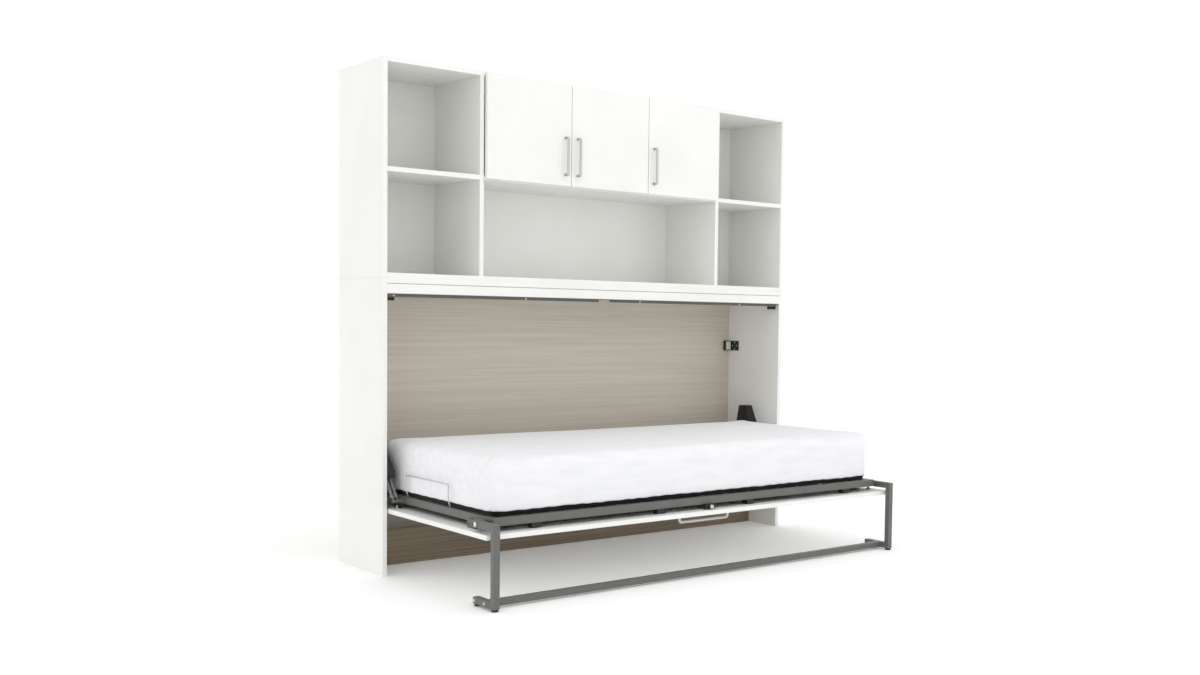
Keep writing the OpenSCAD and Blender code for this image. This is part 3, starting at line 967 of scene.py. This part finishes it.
@dataclass
class PanelLock:
    """The small lock at the middle of the front bar."""

    palette: Palette
    grip_mm: float = 5.0
    grip_width_mm: float = 6.0
    knob_depth_mm: float = 13.5
    shank_mm: float = 13.0

    def dress(self) -> None:
        """Give the lock's body its finish."""
        soften("lock_body", self.palette.black, 1.2)

    def build_knob(self) -> None:
        """Turn the chrome knob, with a grip across its face."""
        low, high = (Vector(c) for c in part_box("lock_knob"))
        radius = (high.x - low.x) / 2
        centre = Vector(((low.x + high.x) / 2, 0, (low.z + high.z) / 2))
        front = Vector((0, -1, 0))
        face = low.y + self.grip_mm * MM
        depth = self.knob_depth_mm * MM
        base = centre + Vector((0, face + depth, 0))
        profile = [
            (0, -self.shank_mm * MM),
            (0.42 * radius, -self.shank_mm * MM),
            (0.42 * radius, 0),
            (0.86 * radius, 0),
            (radius, 1.2 * MM),
            (radius, depth - 2 * MM),
            (0.88 * radius, depth - 0.4 * MM),
            (0.7 * radius, depth),
            (0, depth),
        ]
        grip = []
        for part in (0.0, 0.5, 1.0):
            half = radius * (0.95 - 0.25 * part)
            width = self.grip_width_mm / 2 * MM * (1 - 0.3 * part)
            y = face - part * self.grip_mm * MM
            corners = ((-1, -1), (1, -1), (1, 1), (-1, 1))
            grip += [centre + Vector((sx * width, y, sz * half)) for sx, sz in corners]
        walls = [
            (4 * layer + k, 4 * layer + (k + 1) % 4, 4 * layer + 4 + (k + 1) % 4, 4 * layer + 4 + k)
            for layer in (0, 1)
            for k in range(4)
        ]
        grip_part = (np.array(grip), [*walls, (0, 1, 2, 3), (8, 9, 10, 11)])
        mesh = mesh_of("knob", *joined([lathed(profile, 28, front, base), grip_part]))
        piece = new_piece("knob", mesh, self.palette.chrome, Body.LOCK_KNOB.value)
        bevel = piece.modifiers.new("eased_edge", "BEVEL")
        bevel.width = 0.4 * MM
        bevel.limit_method = "ANGLE"
        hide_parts("lock_knob")


@dataclass
class LegFrame:
    """The folding leg frame, its pivots, feet and bolts."""

    palette: Palette
    pivot_shank_mm: float = 6.0
    foot_radius_mm: float = 13.0
    heel_radius_mm: float = 12.0
    bolt_head_mm: float = 4.0

    def dress(self) -> None:
        """Give the tubes and the hinge blocks their finishes."""
        for node in ("leg_top_arms", "leg_uprights", "leg_foot_arms", "leg_crossbar"):
            soften(node, self.palette.powder, 1.8)
        soften("leg_hinge_blocks", self.palette.powder, 1.0)

    def build_pivot_bolts(self) -> None:
        """Shape the domed pivot bolts of the leg frame."""
        low, high = (Vector(c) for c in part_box("leg_pivot_bolts"))
        y, z = (low.y + high.y) / 2, (low.z + high.z) / 2
        head, shank = (high.y - low.y) / 2, self.pivot_shank_mm * MM
        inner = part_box("frame_end_bars")[1][0]
        parts = []
        for side in Side:
            out = Vector((side.value, 0, 0))
            length = high.x - inner
            profile = [
                (0, 0),
                (shank, 0),
                (shank, length - 5 * MM),
                (head, length - 5 * MM),
                (head, length - 2.5 * MM),
                (0.8 * head, length - 0.6 * MM),
                (0.5 * head, length),
                (0.4 * head, length),
                (0.36 * head, length - 2.2 * MM),
                (0, length - 2.4 * MM),
            ]
            parts.append(lathed(profile, 24, out, Vector((side.value * inner, y, z))))
        piece = new_piece(
            "leg_pivot_bolt_heads",
            mesh_of("leg_pivot_bolt_heads", *joined(parts)),
            self.palette.chrome,
            Body.BED.value,
        )
        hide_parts("leg_pivot_bolts")

    def build_feet(self) -> None:
        """Mould the round feet and heel pads, each with a ribbed flank."""
        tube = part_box("leg_foot_arms")
        low, high = (Vector(c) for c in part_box("leg_feet"))
        foot_h = tube[0][2]
        x = (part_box("leg_uprights")[1][0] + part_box("leg_crossbar")[1][0]) / 2
        radius, heel_radius = self.foot_radius_mm * MM, self.heel_radius_mm * MM
        places = [(low.y + radius, radius), (high.y - heel_radius, heel_radius)]
        parts = []
        for side in Side:
            for y, r in places:
                rings = [(0, 0), (0.86 * r, 0), (r, 1.2 * MM)]
                for step in (0.35, 0.6, 0.85):
                    rings += [(r, foot_h * step), (0.93 * r, foot_h * (step + 0.05))]
                    rings += [(r, foot_h * (step + 0.1))]
                rings += [(r, foot_h), (0, foot_h)]
                parts.append(lathed(rings, 28, Vector((0, 0, 1)), Vector((side.value * x, y, 0))))
        mesh = mesh_of("ribbed_feet", *joined(parts))
        piece = new_piece("ribbed_feet", mesh, self.palette.black, Body.LEG_FRAME.value)
        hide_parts("leg_feet")

    def build_bolts(self) -> None:
        """Shape the bright bolt heads on the outside of the foot arms."""
        low, high = (Vector(c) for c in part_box("leg_bolts"))
        radius, head = (high.z - low.z) / 2, self.bolt_head_mm * MM
        parts = []
        for side in Side:
            for y in (low.y + radius, high.y - radius):
                place = Vector((side.value * (high.x - head), y, (low.z + high.z) / 2))
                parts.append(screw_head(place, Vector((side.value, 0, 0)), radius, head))
        mesh = mesh_of("foot_arm_bolts", *joined(parts))
        piece = new_piece("foot_arm_bolts", mesh, self.palette.steel_z, Body.LEG_FRAME.value)
        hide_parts("leg_bolts")


# ---------------------------------------------------------------- mattress


@dataclass
class Mattress:
    """A foam mattress with a black knitted base, in a white fitted sheet."""

    palette: Palette
    cell: float = 16 * MM
    plan_radius: float = 42 * MM
    rear_radius: float = 36 * MM
    edge_radius: float = 34 * MM
    start_inset: float = 5 * MM
    swell_cap: float = 8 * MM
    hem_height: float = 19 * MM
    ruffle: float = 4.5 * MM
    frames: int = 18

    def block(self) -> bpy.types.Mesh:
        """Return a closed block with rounded corners and edges, a little smaller than the CAD."""
        low, high = (Vector(c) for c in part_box("mattress"))
        low += Vector((1, 1, 0)) * self.start_inset
        high -= Vector((1, 1, 1)) * self.start_inset
        size = high - low
        counts = [max(2, round(s / self.cell)) for s in size]
        build = bmesh.new()
        grid: dict[tuple[int, int, int], bmesh.types.BMVert] = {}

        def vert(i: int, j: int, k: int) -> bmesh.types.BMVert:
            """Find the vertex at a grid place on the block's skin, or make it.

            Args:
                i: Place along X.
                j: Place along Y.
                k: Place along Z.

            Returns:
                The vertex, the same one each time.
            """
            if (i, j, k) not in grid:
                share = (i / counts[0], j / counts[1], k / counts[2])
                grid[i, j, k] = build.verts.new([low[a] + size[a] * share[a] for a in range(3)])
            return grid[i, j, k]

        for a, b, c in ((0, 1, 2), (1, 2, 0), (2, 0, 1)):
            for end in (0, counts[c]):
                for i in range(counts[a]):
                    for j in range(counts[b]):
                        quad = []
                        for di, dj in ((0, 0), (1, 0), (1, 1), (0, 1)):
                            place = [0, 0, 0]
                            place[a], place[b], place[c] = i + di, j + dj, end
                            quad.append(vert(*place))
                        build.faces.new(quad if end else quad[::-1])
        mesh = bpy.data.meshes.new("mattress_core")
        build.to_mesh(mesh)
        build.free()
        points = np.array([v.co for v in mesh.vertices])
        mesh.vertices.foreach_set("co", self.rounded(points, low, high).ravel())
        mesh.update()
        return mesh

    def rounded(self, points: np.ndarray, low: Vector, high: Vector) -> np.ndarray:
        """Round a block's upright corners in plan and then its long edges.

        Args:
            points: The block's points.
            low: The block's lowest corner.
            high: The block's highest corner.

        Returns:
            The rounded points.
        """
        low_xy, high_xy = np.array(low[:2]), np.array(high[:2])
        at_front = points[:, 1] < (low.y + high.y) / 2
        plan = np.where(at_front, self.plan_radius, self.rear_radius)
        inner = np.clip(points[:, :2], low_xy + plan[:, None], high_xy - plan[:, None])
        out = points[:, :2] - inner
        length = np.linalg.norm(out, axis=1)
        reach = np.abs(out).max(axis=1)
        direction = np.where(length[:, None] > 1e-9, out / np.maximum(length, 1e-9)[:, None], 0.0)
        result = points.copy()
        for edge, upper in ((self.edge_radius, True), (0.5 * self.edge_radius, False)):
            depth = (high.z - points[:, 2]) if upper else (points[:, 2] - low.z)
            inside = plan - reach
            a, b = edge - inside, edge - depth
            corner = (a > 0) & (b > 0) & (length > 1e-9)
            most, norm = np.maximum(a, b), np.hypot(a, b)
            new_a, new_b = a * most / np.maximum(norm, 1e-9), b * most / np.maximum(norm, 1e-9)
            reach = np.where(corner, plan - edge + new_a, reach)
            new_depth = np.where(corner, edge - new_b, depth)
            moved = high.z - new_depth if upper else low.z + new_depth
            result[:, 2] = np.where(corner, moved, result[:, 2])
        result[:, :2] = inner + direction * reach[:, None]
        return result

    def swell(self, piece: bpy.types.Object) -> None:
        """Blow the block up a little with a cloth simulation, held down along its underside.

        Args:
            piece: The mattress block.
        """
        mesh = piece.data
        rest = np.array([v.co for v in mesh.vertices])
        floor = rest[:, 2].min()
        held = piece.vertex_groups.new(name="held")
        for index in np.nonzero(rest[:, 2] < floor + 4 * MM)[0]:
            held.add([int(index)], 1.0, "REPLACE")
        cloth = piece.modifiers.new("cloth", "CLOTH")
        cloth.settings.quality = 5
        cloth.settings.mass = 0.4
        cloth.settings.tension_stiffness = 25
        cloth.settings.compression_stiffness = 25
        cloth.settings.bending_stiffness = 4
        cloth.settings.use_pressure = True
        cloth.settings.uniform_pressure_force = 4
        cloth.settings.vertex_group_mass = "held"
        cloth.settings.effector_weights.gravity = 0
        cloth.collision_settings.use_collision = False
        for number in range(1, self.frames + 1):
            bpy.context.scene.frame_set(number)
        graph = bpy.context.evaluated_depsgraph_get()
        result = np.array([v.co for v in piece.evaluated_get(graph).data.vertices])
        piece.modifiers.remove(cloth)
        bpy.context.scene.frame_set(1)
        move = result - rest
        size = np.linalg.norm(move, axis=1)
        move *= (np.minimum(size, self.swell_cap) / np.maximum(size, 1e-9))[:, None]
        mesh.vertices.foreach_set("co", (rest + move).ravel())
        mesh.update()

    def sag(self, points: np.ndarray, low: Vector, high: Vector) -> np.ndarray:
        """Add the slow unevenness of foam, as shallow waves that fade out towards the base.

        Args:
            points: The mattress's points.
            low: Lowest corner of its box.
            high: Highest corner of its box.

        Returns:
            The moved points.
        """
        result = points.copy()
        height = np.clip((points[:, 2] - low.z) / (high.z - low.z), 0, 1)
        for index, (x, y, z) in enumerate(points):
            broad = noise.noise(Vector((x * 2.1, y * 2.8, 0.4)))
            narrow = 0.5 * noise.noise(Vector((x * 5.5, y * 6.5, 3.0)))
            result[index, 2] = z + 2.2 * MM * (broad + narrow) * height[index]
        return result

    def build(self) -> None:
        """Build the mattress and its sheet."""
        low, high = (Vector(c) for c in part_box("mattress"))
        core = bpy.data.objects.new("mattress_core", self.block())
        bpy.context.scene.collection.objects.link(core)
        self.swell(core)
        mesh = core.data
        points = np.array([v.co for v in mesh.vertices])
        points = self.sag(points, low, high)
        points[:, 2] = np.maximum(points[:, 2], low.z)
        mesh.vertices.foreach_set("co", points.ravel())
        mesh.update()
        sheet_mesh = mesh.copy()
        mesh.materials.append(self.palette.knit)
        mesh.shade_smooth()
        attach(core, Body.BED.value)
        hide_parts("mattress")
        log.info("piece mattress_core on bed")
        self.build_sheet(sheet_mesh, low, high)

    def build_sheet(self, mesh: bpy.types.Mesh, low: Vector, high: Vector) -> None:
        """Pull a fitted sheet over the mattress, with a gathered hem.

        Args:
            mesh: A copy of the mattress's mesh.
            low: Lowest corner of the mattress.
            high: Highest corner of the mattress.
        """
        mesh.name = "fitted_sheet"
        build = bmesh.new()
        build.from_mesh(mesh)
        hem = low.z + self.hem_height
        below = [f for f in build.faces if max(v.co.z for v in f.verts) < hem - 0.2 * self.cell]
        bmesh.ops.delete(build, geom=below, context="FACES")
        under = [f for f in build.faces if f.normal.z < -0.7]
        bmesh.ops.delete(build, geom=under, context="FACES")
        for edge_vert in {v for e in build.edges if e.is_boundary for v in e.verts}:
            edge_vert.co.z = hem
        bmesh.ops.subdivide_edges(build, edges=build.edges[:], cuts=1, use_grid_fill=True, smooth=0.0)
        build.normal_update()
        self.gather(build, hem, low, high)
        build.to_mesh(mesh)
        build.free()
        piece = new_piece("fitted_sheet", mesh, self.palette.cotton, Body.BED.value)
        thick = piece.modifiers.new("cloth_thickness", "SOLIDIFY")
        thick.thickness = 1.2 * MM
        thick.offset = -1
        smooth = piece.modifiers.new("soft_folds", "SUBSURF")
        smooth.levels = 1
        smooth.render_levels = 1

    def gather(self, build: bmesh.types.BMesh, hem: float, low: Vector, high: Vector) -> None:
        """Push the sheet off the mattress and draw its lower edge into small folds.

        Args:
            build: The sheet's mesh.
            hem: Height of the lower edge.
            low: Lowest corner of the mattress.
            high: Highest corner of the mattress.
        """
        centre = (low + high) / 2
        half = (high - low) / 2
        moves = []
        for vert in build.verts:
            out = vert.normal.copy()
            moves.append((vert, out))
        for vert, out in moves:
            place = vert.co.copy()
            flat_out = Vector((out.x, out.y, 0))
            offset = out * (1.6 * MM)
            above = place.z - hem
            if flat_out.length > 0.5:
                around = math.atan2((place.y - centre.y) / half.y, (place.x - centre.x) / half.x)
                run = place.x if abs(flat_out.y) > abs(flat_out.x) else place.y
                corner = min(1.0, abs(flat_out.x * flat_out.y) * 2.2)
                fold = math.sin(run / (11 * MM) + 2.4 * noise.noise(Vector((run * 9, around, 1.0))))
                swell = 0.55 + 0.6 * noise.noise(Vector((place.x * 6, place.y * 6, 7.0)))
                fade = math.exp(-above / (20 * MM + 45 * MM * corner))
                offset += flat_out.normalized() * (self.ruffle * fade * (0.6 + 0.4 * fold) * swell)
                drape = noise.noise(Vector((place.x * 14, place.y * 14, place.z * 5)))
                offset += flat_out.normalized() * (1.1 * MM * drape * min(1.0, above / 0.08))
                lift = 5 * MM * noise.noise(Vector((place.x * 7, place.y * 7, 2.0))) + 2 * MM * fold
                offset.z += (lift + 1 * MM) * math.exp(-above / (14 * MM))
            vert.co = place + offset


# ---------------------------------------------------------------- studio


@dataclass
class Studio:
    """A pale floor, soft light and a camera in front of the left-hand end."""

    focal_mm: float = 38.05
    shift: tuple[float, float] = (-0.1119, 0.0399)
    place: Vector = field(default_factory=lambda: Vector((-3.3265, -5.123, 1.0512)))
    yaw: float = 0.716
    pitch: float = 0.052
    roll: float = 0.016
    sky: tuple[float, float] = (0.79, 0.86)
    lamps: dict[str, tuple] = field(
        default_factory=lambda: {
            "key_softbox": ((2.4, -7.2, 2.2), (0, -0.4, 1.2), 3.6, 6.0),
            "fill_softbox": ((-3.9, -6.8, 2.0), (0, -0.4, 1.1), 3.6, 3.0),
            "top_softbox": ((0.0, -1.8, 5.0), (0, -0.8, 0), 3.0, 22.0),
        }
    )

    def build_floor(self) -> None:
        """Lay a round floor, with a lit wall that curves up from it all round the bed."""
        reach, bend, top = 12.0, 2.0, 9.0
        rows = [(0.0, 0.0), (reach - bend, 0.0)]
        for turn in np.linspace(0.1, 1.57, 12):
            rows.append((reach - bend + bend * math.sin(turn), bend - bend * math.cos(turn)))
        rows.append((reach, top))
        steps = 64
        turns = [2 * math.pi * k / steps for k in range(steps)]
        points = [(r * math.cos(turn), r * math.sin(turn), z) for r, z in rows for turn in turns]
        faces = []
        for i in range(len(rows) - 1):
            for k in range(steps):
                after = (k + 1) % steps
                low, high = i * steps, (i + 1) * steps
                faces.append((low + k, low + after, high + after, high + k))
        mesh = bpy.data.meshes.new("studio_floor")
        mesh.from_pydata(points, [], faces)
        mesh.materials.append(PaintedFloor().build())
        mesh.materials.append(LitWall().build())
        mesh.shade_smooth()
        for face in mesh.polygons:
            face.material_index = int(face.center.z > 0.02)
        floor = bpy.data.objects.new("studio_floor", mesh)
        bpy.context.scene.collection.objects.link(floor)

    def build_light(self) -> None:
        """Fill the room with even light and hang soft boxes in front of the bed and above it.

        Tones stay as they are lit, without a film curve, so that the white boards stay white.
        """
        scene = bpy.context.scene
        scene.view_settings.view_transform = "Standard"
        world = bpy.data.worlds.new("soft_room")
        scene.world = world
        world.use_nodes = True
        tree = world.node_tree
        tree.nodes.clear()
        way = add_node(tree, "ShaderNodeTexCoord").outputs["Generated"]
        rise = add_node(tree, "ShaderNodeSeparateXYZ", {"Vector": way}).outputs["Z"]
        low, high = self.sky
        ramp = {"Value": rise, "From Min": 0.0, "From Max": 0.55, "To Min": low, "To Max": high}
        strength = add_node(tree, "ShaderNodeMapRange", ramp).outputs["Result"]
        sky = add_node(tree, "ShaderNodeBackground", {"Color": linear("#FFFFFF"), "Strength": strength})
        add_node(tree, "ShaderNodeOutputWorld", {"Surface": sky.outputs["Background"]})
        for name, (place, target, size, power) in self.lamps.items():
            lamp = bpy.data.lights.new(name, "AREA")
            lamp.shape = "DISK"
            lamp.size = size
            lamp.energy = power
            light = bpy.data.objects.new(name, lamp)
            light.location = place
            light.rotation_euler = (Vector(target) - Vector(place)).to_track_quat("-Z", "Y").to_euler()
            scene.collection.objects.link(light)

    def build_camera(self) -> None:
        """Place the camera."""
        lens = bpy.data.cameras.new("camera")
        lens.lens = self.focal_mm
        lens.sensor_width = 36.0
        lens.shift_x, lens.shift_y = self.shift
        forward = Vector(
            (
                math.sin(self.yaw) * math.cos(self.pitch),
                math.cos(self.yaw) * math.cos(self.pitch),
                -math.sin(self.pitch),
            )
        )
        right = Vector((math.cos(self.yaw), -math.sin(self.yaw), 0))
        up = right.cross(forward)
        level_right = math.cos(self.roll) * right + math.sin(self.roll) * up
        level_up = -math.sin(self.roll) * right + math.cos(self.roll) * up
        turn = Matrix((level_right, level_up, -forward)).transposed().to_4x4()
        camera = bpy.data.objects.new("camera", lens)
        camera.matrix_world = Matrix.Translation(self.place) @ turn
        bpy.context.scene.collection.objects.link(camera)
        bpy.context.scene.camera = camera


def main() -> None:
    """Build the whole bed and its studio."""
    logging.basicConfig(level=logging.INFO, format="%(name)s: %(message)s")
    studio = Studio()
    studio.build_camera()
    studio.build_floor()
    studio.build_light()
    palette = Palette()
    cabinet = BedCabinet(palette)
    cabinet.dress()
    cabinet.build_screws()
    UpperUnit(palette).dress()
    for number in (1, 2, 3):
        door = CabinetDoor(palette, number)
        door.dress()
        door.build_handle()
    mechanism = LiftMechanism(palette)
    mechanism.dress()
    mechanism.build_springs()
    bed = BedFrame(palette)
    bed.dress()
    bed.build_panel_handle()
    bed.build_retainers()
    lock = PanelLock(palette)
    lock.dress()
    lock.build_knob()
    legs = LegFrame(palette)
    legs.dress()
    legs.build_pivot_bolts()
    legs.build_feet()
    legs.build_bolts()
    Mattress(palette).build()


if __name__ == "__main__":
    main()
